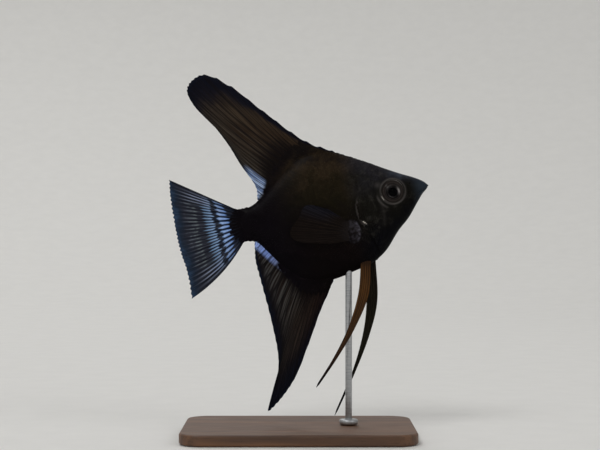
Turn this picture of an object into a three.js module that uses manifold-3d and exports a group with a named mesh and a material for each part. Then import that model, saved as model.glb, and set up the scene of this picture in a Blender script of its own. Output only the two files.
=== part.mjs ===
// Freshwater angelfish, a black Pterophyllum scalare, as a life-size model on a display stand.
// Millimetres, +Z up. The nose points to +X and the fish's right side to -Y.
// The fish is drawn in a frame of its own: "back" is the distance behind the tip of the snout,
// "up" is the height above the line from the snout to the middle of the tail stalk.
import * as THREE from "three";
import { mergeVertices } from "three/addons/utils/BufferGeometryUtils.js";
import Module from "manifold-3d";

const wasm = await Module();
wasm.setup();

// Pose and place of the fish
const pitchDegrees = 12;
const snoutHeight = 113;
const gap = 0.3;

// Body: distance back, height of the back line, height of the belly line, half thickness
const bodyStations = [
  [0, 0.6, -1.1, 1.0],
  [2.4, 2.7, -2.6, 2.3],
  [6, 5.0, -6.4, 3.8],
  [11.3, 7.8, -12.4, 5.3],
  [17, 11.1, -17.2, 6.4],
  [24.7, 15.7, -25.1, 7.3],
  [32, 19.9, -29.2, 7.6],
  [40, 23.8, -31, 7.3],
  [48.4, 25.5, -32.6, 6.7],
  [56.5, 23.9, -32.9, 5.9],
  [64.6, 18.3, -30.1, 4.8],
  [71, 13.2, -23.9, 3.8],
  [77, 8.4, -15, 3.0],
  [81.5, 6.9, -8.6, 2.5],
  [86, 7.2, -7.9, 2.1],
];
const bodyLength = 86;
const widestShare = 0.56;
const keelSharpness = 1.2;
const bodyRings = 28;
const bodySides = 24;

// Reach of the flat-sided regions that part the body, well outside it
const regionSide = 20;
const regionUp = 40;
const regionDown = -50;
const regionFront = -10;
const regionRear = bodyLength + 5;

// Where the body is parted
const gillBack = 34.6;
const gillUp = -5;
const gillBulge = 7.2;
const gillReach = 23.5;
const gillSteps = 12;
const stalkBack = 77.4;

// Mouth and lower jaw
const cleftBack = 5.2;
const cleftUp = -2.5;
const cleftFront = -0.6;
const lipFront = -3;
const chinBack = 9.6;
const chinUp = -14;

// Gill covers
const coverFront = 23;
const coverTop = 3.6;
const coverBottom = -21;
const coverCurve = 3.6;
const coverSteps = 6;
const coverInset = 0.6;
const coverKeel = 1.5;
const coverInside = 0.82;
const coverSeat = 0.78;

// Eyes
const eyeBack = 16.4;
const eyeUp = 0.5;
const eyeRadius = 5.7;
const eyeHalfDepth = 3;
const eyeStandsOut = 0.9;

// Fins: each row is one ray, root back, root up, tip back and tip up.
// A root up of null lies on the body's own back or belly line.
const finEdge = 0.55;
const finRoot = 2.2;
const rayRidge = 0.14;
const rootSink = 1.5;
const rootTaper = 2.5;
const tipRidgeShare = 0.3;
const finRows = 5;
const finSway = 1.5;
const finWave = 12;
const marginNotch = 0.5;

const dorsalRays = [
  [34, null, 34.8, 22.2],
  [38.6, null, 42, 25.9],
  [43.4, null, 51, 31.9],
  [47.8, null, 60.3, 41.8],
  [50.6, null, 68.3, 51.2],
  [53.2, null, 78.4, 63],
  [55.4, null, 87.6, 69.6],
  [57.8, null, 94.4, 68.2],
  [61.4, null, 97.5, 63.8],
  [63.8, null, 95.2, 55.9],
  [65.8, null, 89.3, 47],
  [67.4, null, 84.2, 36.4],
  [69.2, null, 80.6, 26.4],
  [71.4, null, 76.2, 16],
  [75.4, null, 76.5, 9.6],
];
const dorsalSpines = 10;
const dorsalSoftRays = 13;
const dorsalBow = 6;

const analRays = [
  [50, null, 51, -34.8],
  [51.8, null, 58.4, -44.5],
  [54, null, 66.4, -57.4],
  [56.2, null, 75.8, -71.6],
  [58.2, null, 84.6, -80.2],
  [59.8, null, 91.6, -84.4],
  [61.6, null, 86.4, -75.4],
  [64.2, null, 82.2, -63],
  [68, null, 81.6, -47.6],
  [73.2, null, 82.4, -30],
  [77.4, null, 83, -18],
  [80.8, null, 81.9, -9.8],
];
const analSpines = 6;
const analSoftRays = 15;
const analBow = 5;

const tailRoot = bodyLength + gap;
const tailRays = [
  [tailRoot, 6.9, 113.5, 26.5],
  [tailRoot, 4.6, 114.9, 16.4],
  [tailRoot, 1.6, 115.4, 5.2],
  [tailRoot, -1.6, 115.3, -5.2],
  [tailRoot, -4.9, 114.2, -15.6],
  [tailRoot, -7.7, 114.7, -28],
];
const tailRayCount = 14;
const tailRootThickness = 3.4;
const tailLowerBow = 2.2;
const tailNotch = 0.4;
const tailSway = 1.2;
const tailWave = 6;

const pectoralRays = [
  [38.4, -9, 46.6, -1.2],
  [38.7, -10.6, 55.4, 2.4],
  [39.1, -12.4, 60.6, -2.6],
  [39.4, -14, 65.2, -8],
  [39.7, -15.6, 62.6, -12.6],
  [40, -17, 49.4, -16.6],
];
const pectoralRayCount = 9;
const pectoralRows = 4;
const pectoralNotch = 0.3;
const pectoralRoot = 1;
const pectoralClearance = 0.35;
const pectoralLift = 1.9;

// Pelvic fins, from the root to the end of the filament: back, up, distance out and width
const rightPelvicPath = [
  [34.4, -27.4, 1.7, 4.6],
  [38.7, -41.6, 4.4, 4.6],
  [46.8, -54.8, 6.2, 2.9],
  [56.4, -66.2, 7.2, 1.6],
  [68, -77.8, 7.8, 0.8],
];
const leftPelvicPath = [
  [32.4, -27.4, 1.7, 5],
  [35.2, -45.4, 4.6, 4.9],
  [40.7, -59.8, 6.2, 3.1],
  [49.8, -75.6, 7.2, 1.4],
  [62.6, -93.6, 7.8, 0.7],
];
const pelvicRoot = 1.5;
const pelvicEdge = 0.6;
const pelvicColumns = 6;
const pelvicRows = 14;

// Display stand
const baseLength = 104;
const baseDepth = 70;
const baseHeight = 5;
const baseCorner = 9;
const baseBevel = 1;
const rodX = 22.5;
const rodRadius = 1.5;
const rodFoot = 2;
const rodTop = 77.7;
const collarRadius = 4.2;
const collarHeight = 2.4;
const collarChamfer = 0.8;
const roundSides = 20;

const skinBlack = new THREE.Color(0x1a1512);
const finBlack = new THREE.Color(0x16141a);
const eyeGrey = new THREE.Color(0x2b2622);
const walnut = new THREE.Color(0x5a3d28);
const steel = new THREE.Color(0xb4b6b8);

// ---- Solids

// A closed geometry as a manifold solid, turned to face out if its mapping mirrored it.
function solidOf(geometry) {
  const bare = geometry.clone();
  bare.deleteAttribute("normal");
  bare.deleteAttribute("uv");
  const merged = mergeVertices(bare, 1e-4);
  const corners = new Uint32Array(merged.index.array);
  const vertProperties = new Float32Array(merged.attributes.position.array);
  const solid = new wasm.Manifold(new wasm.Mesh({ numProp: 3, vertProperties, triVerts: corners }));
  if (solid.volume() > 0) {
    return solid;
  }
  corners.reverse();
  return new wasm.Manifold(new wasm.Mesh({ numProp: 3, vertProperties, triVerts: corners }));
}

function geometryOf(solid) {
  const mesh = solid.getMesh();
  const geometry = new THREE.BufferGeometry();
  geometry.setAttribute("position", new THREE.BufferAttribute(mesh.vertProperties, 3));
  geometry.setIndex(new THREE.BufferAttribute(mesh.triVerts, 1));
  geometry.computeVertexNormals();
  return geometry;
}

function namedMesh(name, solid, color, roughness, metalness = 0) {
  const material = new THREE.MeshStandardMaterial({ color, roughness, metalness });
  const mesh = new THREE.Mesh(geometryOf(solid), material);
  mesh.name = name;
  return mesh;
}

// A smooth table: the first column is the place, the others are read off it.
function smoothTable(rows) {
  const places = rows.map((row) => row[0]);
  const values = rows.flatMap((row) => row.slice(1));
  return new THREE.CubicInterpolant(places, values, rows[0].length - 1, []);
}

// ---- Body

const bodyTable = smoothTable(bodyStations);

function sectionAt(back) {
  const [top, bottom, half] = bodyTable.evaluate(THREE.MathUtils.clamp(back, 0, bodyLength));
  return { top, bottom, half, widest: bottom + widestShare * (top - bottom) };
}

// Distance of the flank from the middle plane.
function flankAt(back, up) {
  const { top, bottom, half, widest } = sectionAt(back);
  const reach = up > widest ? top - widest : widest - bottom;
  const level = THREE.MathUtils.clamp((up - widest) / reach, -1, 1);
  return half * Math.pow(1 - level * level, keelSharpness / 2);
}

// The flesh from snout to tail stalk: a sphere whose rings become lens-shaped sections.
function bodySolid(grow = 0, thin = 1) {
  const geometry = new THREE.SphereGeometry(1, bodySides, bodyRings);
  const position = geometry.attributes.position;
  for (let i = 0; i < position.count; i++) {
    const polar = Math.acos(THREE.MathUtils.clamp(position.getY(i), -1, 1));
    const ring = Math.round((polar / Math.PI) * bodyRings);
    const share = Math.min(1, ring / (bodyRings - 1));
    const back = bodyLength * (1 - Math.cos((share * Math.PI) / 2));
    const { top, bottom, half, widest } = sectionAt(back);
    const isPole = ring === 0 || ring === bodyRings;
    const around = Math.atan2(-position.getX(i), position.getZ(i));
    const side = isPole ? 0 : Math.sin(around);
    const level = isPole ? 0 : Math.cos(around);
    const reach = level > 0 ? top - widest : widest - bottom;
    const out = Math.sign(side) * Math.pow(Math.abs(side), keelSharpness) * (half * thin + grow);
    const endGrow = grow * (2 * share - 1);
    position.setXYZ(i, -back - endGrow, out, widest + level * (reach + grow));
  }
  return solidOf(geometry);
}

// A flat outline of [back, up] corners, made solid from one side of the fish to the other.
function sidePrism(corners, from = -regionSide, to = regionSide) {
  const outline = new THREE.Shape(corners.map(([back, up]) => new THREE.Vector2(-back, up)));
  const geometry = new THREE.ExtrudeGeometry(outline, { depth: to - from, bevelEnabled: false });
  geometry.rotateX(Math.PI / 2);
  geometry.translate(0, to, 0);
  return solidOf(geometry);
}

function gillLineAt(up) {
  const share = (up - gillUp) / gillReach;
  return gillBack - gillBulge * share * share;
}

// Corners along the gill opening, moved back by an offset.
function gillLine(fromUp, toUp, offset) {
  return Array.from({ length: gillSteps + 1 }, (_, i) => {
    const up = THREE.MathUtils.lerp(fromUp, toUp, i / gillSteps);
    return [gillLineAt(up) + offset, up];
  });
}

function headRegion() {
  const line = gillLine(regionUp, regionDown, 0);
  return sidePrism([[regionFront, regionUp], ...line, [regionFront, regionDown]]);
}

function trunkRegion() {
  const line = gillLine(regionUp, regionDown, gap);
  return sidePrism([...line, [stalkBack, regionDown], [stalkBack, regionUp]]);
}

function stalkRegion() {
  const front = stalkBack + gap;
  return sidePrism([
    [front, regionUp],
    [front, regionDown],
    [regionRear, regionDown],
    [regionRear, regionUp],
  ]);
}

function jawRegion(grow) {
  return sidePrism([
    [lipFront, cleftFront + grow],
    [0, cleftFront + grow],
    [cleftBack + grow, cleftUp + grow],
    [chinBack + grow, chinUp],
    [lipFront, chinUp],
  ]);
}

// The plate over one side's gills, between its curved front edge and the gill opening.
function coverRegion(side, grow) {
  const top = coverTop + grow;
  const bottom = coverBottom - grow;
  const rear = gillLine(top, bottom, grow - coverInset);
  const front = Array.from({ length: coverSteps + 1 }, (_, i) => {
    const share = i / coverSteps;
    const bend = Math.pow(2 * share - 1, 2);
    return [coverFront - grow + coverCurve * bend, THREE.MathUtils.lerp(bottom, top, share)];
  });
  const corners = [...rear, ...front];
  return side > 0
    ? sidePrism(corners, coverKeel, regionSide)
    : sidePrism(corners, -regionSide, -coverKeel);
}

const body = bodySolid();
const bodyWithGap = bodySolid(gap);

function gillCover(side) {
  return body.subtract(bodySolid(0, coverInside)).intersect(coverRegion(side, 0));
}

// The seat that the gill cover leaves in the head.
function coverSeatSolid(side) {
  return bodySolid(1).subtract(bodySolid(0, coverSeat)).intersect(coverRegion(side, gap));
}

// ---- Eyes

function flankNormal(back, up) {
  const step = 1;
  const alongBack = (flankAt(back + step, up) - flankAt(back - step, up)) / (2 * step);
  const alongUp = (flankAt(back, up + step) - flankAt(back, up - step)) / (2 * step);
  return new THREE.Vector3(alongBack, 1, -alongUp).normalize();
}

function eyeball(side, grow) {
  const geometry = new THREE.SphereGeometry(1, 18, 10);
  geometry.scale(eyeRadius + grow, eyeHalfDepth + grow, eyeRadius + grow);
  const normal = flankNormal(eyeBack, eyeUp);
  geometry.applyQuaternion(new THREE.Quaternion().setFromUnitVectors(new THREE.Vector3(0, 1, 0), normal));
  const surface = new THREE.Vector3(-eyeBack, flankAt(eyeBack, eyeUp), eyeUp);
  const centre = surface.addScaledVector(normal, eyeStandsOut - eyeHalfDepth);
  geometry.translate(centre.x, centre.y, centre.z);
  geometry.scale(1, side, 1);
  return solidOf(geometry);
}

// ---- Fins

// Root up for a ray: given, or just inside the back or belly line.
function rootUp(back, up, isDorsal) {
  if (up !== null) {
    return up;
  }
  const { top, bottom } = sectionAt(back);
  return isDorsal ? top - rootSink : bottom + rootSink;
}

function rayTable(rays) {
  const isDorsal = rays[0][3] > 0;
  const last = rays.length - 1;
  return smoothTable(
    rays.map(([rootBack, up, tipBack, tipUp], i) => [
      i / last,
      rootBack,
      rootUp(rootBack, up, isDorsal),
      tipBack,
      tipUp,
    ]),
  );
}

// A thin fin as a plate: u runs from the first ray to the last, v from root to tip.
// Every second column is a ray; the membrane between is thinner and a notch shorter.
function finSolid({ rays, count, rows, root, notch, bow = () => 0, side = () => 0, lens = false }) {
  const table = rayTable(rays);
  const columns = 2 * count;
  const geometry = new THREE.BoxGeometry(1, 1, 1, columns, 1, rows);
  const position = geometry.attributes.position;
  for (let i = 0; i < position.count; i++) {
    const u = position.getX(i) + 0.5;
    const v = position.getZ(i) + 0.5;
    const face = Math.sign(position.getY(i));
    const [rootBack, rootAt, tipBack, tipUp] = table.evaluate(u);
    const length = Math.hypot(tipBack - rootBack, tipUp - rootAt);
    const isRay = Math.round(u * columns) % 2 === 0;
    const along = v * (isRay ? 1 : 1 - notch / Math.max(length, 4 * notch));
    const bend = bow(u) * 4 * along * (1 - along);
    const back = THREE.MathUtils.lerp(rootBack, tipBack, along) - (bend * (tipUp - rootAt)) / length;
    const up = THREE.MathUtils.lerp(rootAt, tipUp, along) + (bend * (tipBack - rootBack)) / length;
    const shape = lens ? Math.sqrt(Math.sin(Math.PI * THREE.MathUtils.clamp(u, 0.02, 0.98))) : 1;
    const taper = Math.pow(1 - v, rootTaper);
    const ridge = isRay ? rayRidge * THREE.MathUtils.lerp(1, tipRidgeShare, v) : 0;
    const thickness = finEdge + ridge + (root * shape - finEdge) * taper;
    position.setXYZ(i, -back, side(back, up, v) + (face * thickness) / 2, up);
  }
  return solidOf(geometry);
}

function dorsalFin() {
  const fin = finSolid({
    rays: dorsalRays,
    count: dorsalSpines + dorsalSoftRays,
    rows: finRows,
    root: finRoot,
    notch: marginNotch,
    bow: (u) => -dorsalBow * u * (1 - u),
    side: (back, up, v) => finSway * v * v * Math.sin(back / finWave),
  });
  return fin.subtract(bodyWithGap);
}

function analFin() {
  const fin = finSolid({
    rays: analRays,
    count: analSpines + analSoftRays,
    rows: finRows,
    root: finRoot,
    notch: marginNotch,
    bow: (u) => analBow * u * (1 - u),
    side: (back, up, v) => -finSway * v * v * Math.sin(back / finWave),
  });
  return fin.subtract(bodyWithGap);
}

function tailFin() {
  return finSolid({
    rays: tailRays,
    count: tailRayCount,
    rows: finRows,
    root: tailRootThickness,
    notch: tailNotch,
    bow: (u) => -tailLowerBow * u * u,
    side: (back, up, v) => tailSway * v * v * Math.sin(up / tailWave),
    lens: true,
  });
}

// Folded back along the flank, lifting away from it towards the tip.
function pectoralFin(side) {
  const fin = finSolid({
    rays: pectoralRays,
    count: pectoralRayCount,
    rows: pectoralRows,
    root: pectoralRoot,
    notch: pectoralNotch,
    side: (back, up, v) => {
      const clearance = pectoralClearance + pectoralRoot / 2 + pectoralLift * v * v;
      return side * (flankAt(back, up) + clearance);
    },
  });
  return fin.subtract(bodyWithGap);
}

// A narrow fin that runs out into a filament.
function pelvicFin(path, side) {
  const last = path.length - 1;
  const table = smoothTable(path.map((row, i) => [i / last, ...row]));
  const geometry = new THREE.BoxGeometry(1, 1, 1, pelvicColumns, 1, pelvicRows);
  const position = geometry.attributes.position;
  const step = 0.01;
  for (let i = 0; i < position.count; i++) {
    const across = position.getX(i);
    const v = position.getZ(i) + 0.5;
    const face = Math.sign(position.getY(i));
    const [backBefore, upBefore] = table.evaluate(Math.max(0, v - step));
    const [backAfter, upAfter] = table.evaluate(Math.min(1, v + step));
    const [back, up, out, width] = table.evaluate(v);
    const heading = Math.atan2(upAfter - upBefore, backAfter - backBefore);
    const isRay = Math.round((across + 0.5) * pelvicColumns) % 2 === 0;
    const taper = Math.pow(1 - v, 2);
    const thickness = pelvicEdge + (pelvicRoot - pelvicEdge) * taper + (isRay ? rayRidge : 0);
    position.setXYZ(
      i,
      -(back - across * width * Math.sin(heading)),
      side * out + (face * thickness) / 2,
      up + across * width * Math.cos(heading),
    );
  }
  return solidOf(geometry).subtract(bodyWithGap);
}

// ---- Stand, in the part's own frame

function uprightCylinder(radius, bottom, top) {
  const geometry = new THREE.CylinderGeometry(radius, radius, top - bottom, roundSides);
  geometry.rotateX(Math.PI / 2);
  geometry.translate(rodX, 0, (bottom + top) / 2);
  return solidOf(geometry);
}

function baseOutline() {
  const x = baseLength / 2 - baseBevel;
  const y = baseDepth / 2 - baseBevel;
  const r = baseCorner;
  const outline = new THREE.Shape();
  outline.moveTo(-x + r, -y);
  outline.lineTo(x - r, -y);
  outline.absarc(x - r, -y + r, r, -Math.PI / 2, 0);
  outline.absarc(x - r, y - r, r, 0, Math.PI / 2);
  outline.absarc(-x + r, y - r, r, Math.PI / 2, Math.PI);
  outline.absarc(-x + r, -y + r, r, Math.PI, Math.PI * 1.5);
  return outline;
}

function standBase() {
  const geometry = new THREE.ExtrudeGeometry(baseOutline(), {
    depth: baseHeight - 2 * baseBevel,
    bevelThickness: baseBevel,
    bevelSize: baseBevel,
    bevelSegments: 1,
    curveSegments: 5,
  });
  geometry.translate(0, 0, baseBevel);
  const hole = uprightCylinder(rodRadius + gap, rodFoot - gap, baseHeight + 1);
  return solidOf(geometry).subtract(hole);
}

function standCollar() {
  const inner = rodRadius + gap;
  const foot = baseHeight + gap;
  const profile = [
    [inner, 0],
    [collarRadius, 0],
    [collarRadius, collarHeight - collarChamfer],
    [collarRadius - collarChamfer, collarHeight],
    [inner, collarHeight],
    [inner, 0],
  ];
  const geometry = new THREE.LatheGeometry(
    profile.map(([radius, height]) => new THREE.Vector2(radius, height)),
    roundSides,
  );
  geometry.rotateX(Math.PI / 2);
  geometry.translate(rodX, 0, foot);
  return solidOf(geometry);
}

// ---- Assembly

const fish = new THREE.Group();
fish.rotation.y = THREE.MathUtils.degToRad(-pitchDegrees);

const sides = [
  ["right", -1],
  ["left", 1],
];

let head = body.intersect(headRegion()).subtract(jawRegion(gap));
for (const [name, side] of sides) {
  head = head.subtract(coverSeatSolid(side)).subtract(eyeball(side, gap));
  fish.add(namedMesh(`gill_cover_${name}`, gillCover(side), skinBlack, 0.5));
  fish.add(namedMesh(`eye_${name}`, eyeball(side, 0), eyeGrey, 0.15));
  fish.add(namedMesh(`pectoral_fin_${name}`, pectoralFin(side), finBlack, 0.5));
}
fish.add(namedMesh("head", head, skinBlack, 0.5));
fish.add(namedMesh("lower_jaw", body.intersect(jawRegion(0)), skinBlack, 0.5));
fish.add(namedMesh("tail_stalk", body.intersect(stalkRegion()), skinBlack, 0.5));
fish.add(namedMesh("dorsal_fin", dorsalFin(), finBlack, 0.55));
fish.add(namedMesh("anal_fin", analFin(), finBlack, 0.55));
fish.add(namedMesh("tail_fin", tailFin(), finBlack, 0.55));
fish.add(namedMesh("pelvic_fin_right", pelvicFin(rightPelvicPath, -1), finBlack, 0.55));
fish.add(namedMesh("pelvic_fin_left", pelvicFin(leftPelvicPath, 1), finBlack, 0.55));

// The fish's length lies evenly about the origin, with the snout at its own height.
const span = new THREE.Box3().setFromObject(fish, true);
fish.position.set(-(span.min.x + span.max.x) / 2, 0, snoutHeight);
fish.updateMatrixWorld(true);

// The trunk's socket for the rod is cut in the fish's frame.
const intoFish = fish.matrixWorld.clone().invert();
const socket = uprightCylinder(rodRadius + gap, rodFoot, rodTop + gap).transform(intoFish.elements);
const trunk = body.intersect(trunkRegion()).subtract(socket);
fish.add(namedMesh("trunk", trunk, skinBlack, 0.5));

const model = new THREE.Group();
model.add(fish);
model.add(namedMesh("stand_base", standBase(), walnut, 0.45));
model.add(namedMesh("stand_collar", standCollar(), steel, 0.35, 1));
model.add(namedMesh("stand_rod", uprightCylinder(rodRadius, rodFoot, rodTop), steel, 0.35, 1));

export default model;
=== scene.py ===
import math
from functools import partial

import bmesh
import bpy
import numpy as np
from mathutils import Matrix, Vector


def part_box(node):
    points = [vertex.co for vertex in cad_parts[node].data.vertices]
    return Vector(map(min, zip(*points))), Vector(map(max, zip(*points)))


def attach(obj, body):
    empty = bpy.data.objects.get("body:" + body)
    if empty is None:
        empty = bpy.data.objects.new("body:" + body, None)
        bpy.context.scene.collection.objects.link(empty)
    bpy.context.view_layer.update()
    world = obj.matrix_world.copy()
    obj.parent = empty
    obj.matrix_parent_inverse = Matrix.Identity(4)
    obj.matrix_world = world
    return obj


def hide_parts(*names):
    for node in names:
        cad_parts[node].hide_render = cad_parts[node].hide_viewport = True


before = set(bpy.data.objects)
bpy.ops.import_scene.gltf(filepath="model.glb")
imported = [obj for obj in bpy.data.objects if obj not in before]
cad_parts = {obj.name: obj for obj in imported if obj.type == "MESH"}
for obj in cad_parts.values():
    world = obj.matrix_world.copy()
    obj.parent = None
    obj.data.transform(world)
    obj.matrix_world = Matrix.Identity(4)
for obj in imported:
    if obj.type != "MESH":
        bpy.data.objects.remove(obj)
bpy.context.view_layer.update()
mm = 0.001
fullTurn = 2 * math.pi
sides = (("Right", -1), ("Left", 1))

# The fish is drawn in its own frame, in mm: back is the distance behind the snout, out is towards
# its left side, and up is above the line from the snout to the middle of the tail stalk.
fishPose = {
    "pitch": math.radians(12),
    "snoutX": 58.21,
    "snoutUp": 113.0,
}


def toWorld(back, out, up):
    cosine, sine = math.cos(fishPose["pitch"]), math.sin(fishPose["pitch"])
    x = fishPose["snoutX"] - back * cosine - up * sine
    z = fishPose["snoutUp"] - back * sine + up * cosine
    return np.stack(np.broadcast_arrays(x, out, z), axis=-1) * mm


# A smooth curve through the rows of a table: the first column is the place along it.
def smoothTable(rows):
    table = np.array(rows, float)
    places, values = table[:, 0], table[:, 1:]
    last = len(places) - 2

    def read(at):
        at = np.clip(np.asarray(at, float), places[0], places[-1])
        i = np.clip(np.searchsorted(places, at, side="right") - 1, 0, last)
        before = np.where(i > 0, i - 1, i + 1)
        after = np.where(i < last, i + 2, i)
        start, end = places[i], places[i + 1]
        half = (end - start) / 2
        a = (half / (start - places[before]))[..., None]
        b = (half / (places[after] - end))[..., None]
        p = ((at - start) / (end - start))[..., None]
        found = (2 * a * p**2 - a * p**3 - a * p) * values[before]
        found += ((1 + a) * p**3 - (1.5 + 2 * a) * p**2 + (a - 0.5) * p + 1) * values[i]
        found += ((1.5 + b) * p**2 - (1 + b) * p**3 + 0.5 * p) * values[i + 1]
        found += (b * p**3 - b * p**2) * values[after]
        return np.moveaxis(found, -1, 0)

    return read


def smoothStep(low, high, x):
    t = np.clip((x - low) / (high - low), 0, 1)
    return t * t * (3 - 2 * t)


def bell(distance, width):
    return np.exp(-((distance / width) ** 2))


# Distance from a point to the stretch between two points, all in the side view, and the share of
# the stretch at which it is nearest.
def awayFromLine(back, up, start, end):
    along = np.array(end, float) - np.array(start, float)
    t = ((back - start[0]) * along[0] + (up - start[1]) * along[1]) / (along @ along)
    t = np.clip(t, 0, 1)
    return np.hypot(back - start[0] - t * along[0], up - start[1] - t * along[1]), t


def pointsOf(mesh):
    flat = np.empty(3 * len(mesh.vertices))
    mesh.vertices.foreach_get("co", flat)
    return flat.reshape(-1, 3)


def movePoints(mesh, points):
    mesh.vertices.foreach_set("co", points.astype(np.float32).ravel())
    mesh.update()


def normalsOf(mesh):
    flat = np.empty(3 * len(mesh.vertices), np.float32)
    mesh.vertex_normals.foreach_get("vector", flat)
    return flat.reshape(-1, 3).astype(float)


def meshFrom(bm, name):
    mesh = bpy.data.meshes.new(name)
    bm.to_mesh(mesh)
    bm.free()
    return mesh


# Stores one value for each point under each name.
def addValues(mesh, **layers):
    for name, values in layers.items():
        layer = mesh.attributes.new(name, "FLOAT", "POINT")
        layer.data.foreach_set("value", np.ascontiguousarray(values, np.float32))


# Moves a mesh's points to their places, stores values on them and turns its faces outwards.
def shapeMesh(mesh, points, **layers):
    movePoints(mesh, points)
    addValues(mesh, **layers)
    bm = bmesh.new()
    bm.from_mesh(mesh)
    bmesh.ops.recalc_face_normals(bm, faces=bm.faces[:])
    bm.to_mesh(mesh)
    bm.free()
    return mesh


def addObject(name, data):
    made = bpy.data.objects.new(name, data)
    bpy.context.scene.collection.objects.link(made)
    return made


# Makes a mesh into the piece of its own name, in place of the nodes named after it.
def addPiece(mesh, material, slot, *nodes, smooth=True):
    for polygon in mesh.polygons:
        polygon.use_smooth = smooth
    piece = addObject(mesh.name, mesh)
    mesh.materials.append(material)
    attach(piece, "root")
    if nodes:
        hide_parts(*nodes)


def srgb(code):
    channels = [int(code[i:i + 2], 16) / 255 for i in (0, 2, 4)]
    linear = [c / 12.92 if c <= 0.04045 else ((c + 0.055) / 1.055) ** 2.4 for c in channels]
    return (*linear, 1.0)


# Adds a node and gives its output. Settings are the node's properties, inputs are values or the
# outputs that feed it, and stops are the places and colours of a ramp.
def addNode(tree, kind, inputs=(), output=0, stops=(), **settings):
    node = tree.nodes.new("ShaderNode" + kind)
    for key, value in settings.items():
        setattr(node, key, value)
    for socket, value in inputs.items() if isinstance(inputs, dict) else enumerate(inputs):
        if isinstance(value, bpy.types.NodeSocket):
            tree.links.new(value, node.inputs[socket])
        else:
            node.inputs[socket].default_value = value
    if stops:
        elements = node.color_ramp.elements
        elements.remove(elements[1])
        elements[0].position, elements[0].color = stops[0][0], srgb(stops[0][1])
        for place, shade in stops[1:]:
            elements.new(place).color = srgb(shade)
    return node.outputs[output] if node.outputs else None


# Settings that many nodes share.
eased = {"interpolation_type": "SMOOTHSTEP"}
mixed = {"output": 2, "data_type": "RGBA"}
times = {"operation": "MULTIPLY"}
wetFilm = {"Specular IOR Level": 0.05, "IOR": 1.4}


# Makes a material from a recipe: a function that is given addNode for the material's own tree, and
# gives the values of the shader's sockets.
def newMaterial(name, recipe, *details):
    material = bpy.data.materials.new(name)
    material.use_nodes = True
    material.node_tree.nodes.clear()
    add = partial(addNode, material.node_tree)
    add("OutputMaterial", (add("BsdfPrincipled", recipe(add, *details)),))
    return material


# Object coordinates turned into the fish's frame: X is minus back, Y out and Z up, all in mm.
def fishCoordinates(add):
    snout = Vector((fishPose["snoutX"], 0, fishPose["snoutUp"]))
    turn = Matrix.Rotation(fishPose["pitch"], 3, "Y")
    return add("Mapping", {
        "Vector": add("TexCoord", output="Object"),
        "Location": -(turn @ snout),
        "Rotation": (0, fishPose["pitch"], 0),
        "Scale": (1 / mm, 1 / mm, 1 / mm),
    })


# Black angelfish skin: melanin under a wet slime film. It reads as a brown-black, olive on the back
# and flank, bluer on the nape and snout, and near black on the belly, chin and tail stalk. The
# ramps up the flank and the head are partly the skin's own colour and partly painted top light, the
# band along the top of the head is a painted highlight, and the ridge colours are painted
# highlights.
bodyColours = {
    # lighter high on the flank, partly the skin's own colour and partly painted top light
    "bellyToBack": [
        (0.0, "060303"), (0.22, "080404"), (0.42, "0d0906"), (0.6, "110e06"), (0.74, "18130a"),
        (0.86, "241c12"), (0.95, "19130d"), (1.0, "0f0b09")],
    # darkest under the chin and lighter towards the nape, partly the skin's own colour and partly
    # painted top light and shade
    "chinToNape": [
        (0.0, "020204"), (0.25, "040407"), (0.45, "0c0b08"), (0.62, "0f0e0b"), (0.82, "18171a"),
        (1.0, "201e21")],
    "heights": (-32.0, 26.0), "slopes": (-1.1, 0.7), "headFade": (40.0, 28.0),
    # a fade is where a colour starts and is full, in mm back, and its share at each
    # forehead: a painted bluish highlight along the top edge of the head
    "forehead": "3a404b", "foreheadFade": (21.0, 10.0), "foreheadSlopes": (0.78, 1.0, 0.0, 0.9),
    "snout": "28303a", "snoutFade": (9.0, 2.0, 0.0, 0.8),
    "tailStalk": "050307", "tailStalkFade": (50.0, 74.0, 0.0, 0.9),
    "cheekPatch": "2f2d2a", "cheekPatches": (0.48, 0.72, 0.0, 0.38), "cheekSlopes": (0.15, 0.45),
    # ridge: colours of the painted highlights, up to near white for the painted glints
    "ridge": [(0.0, "4c4846"), (0.7, "4c4846"), (1.0, "ece6da")],
    # the pectoral fin's base: its greyer tone, brightened along its front rim as a painted
    # highlight
    "finBase": "4f4c55",
    "scaleEdge": 2.1,
}


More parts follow.
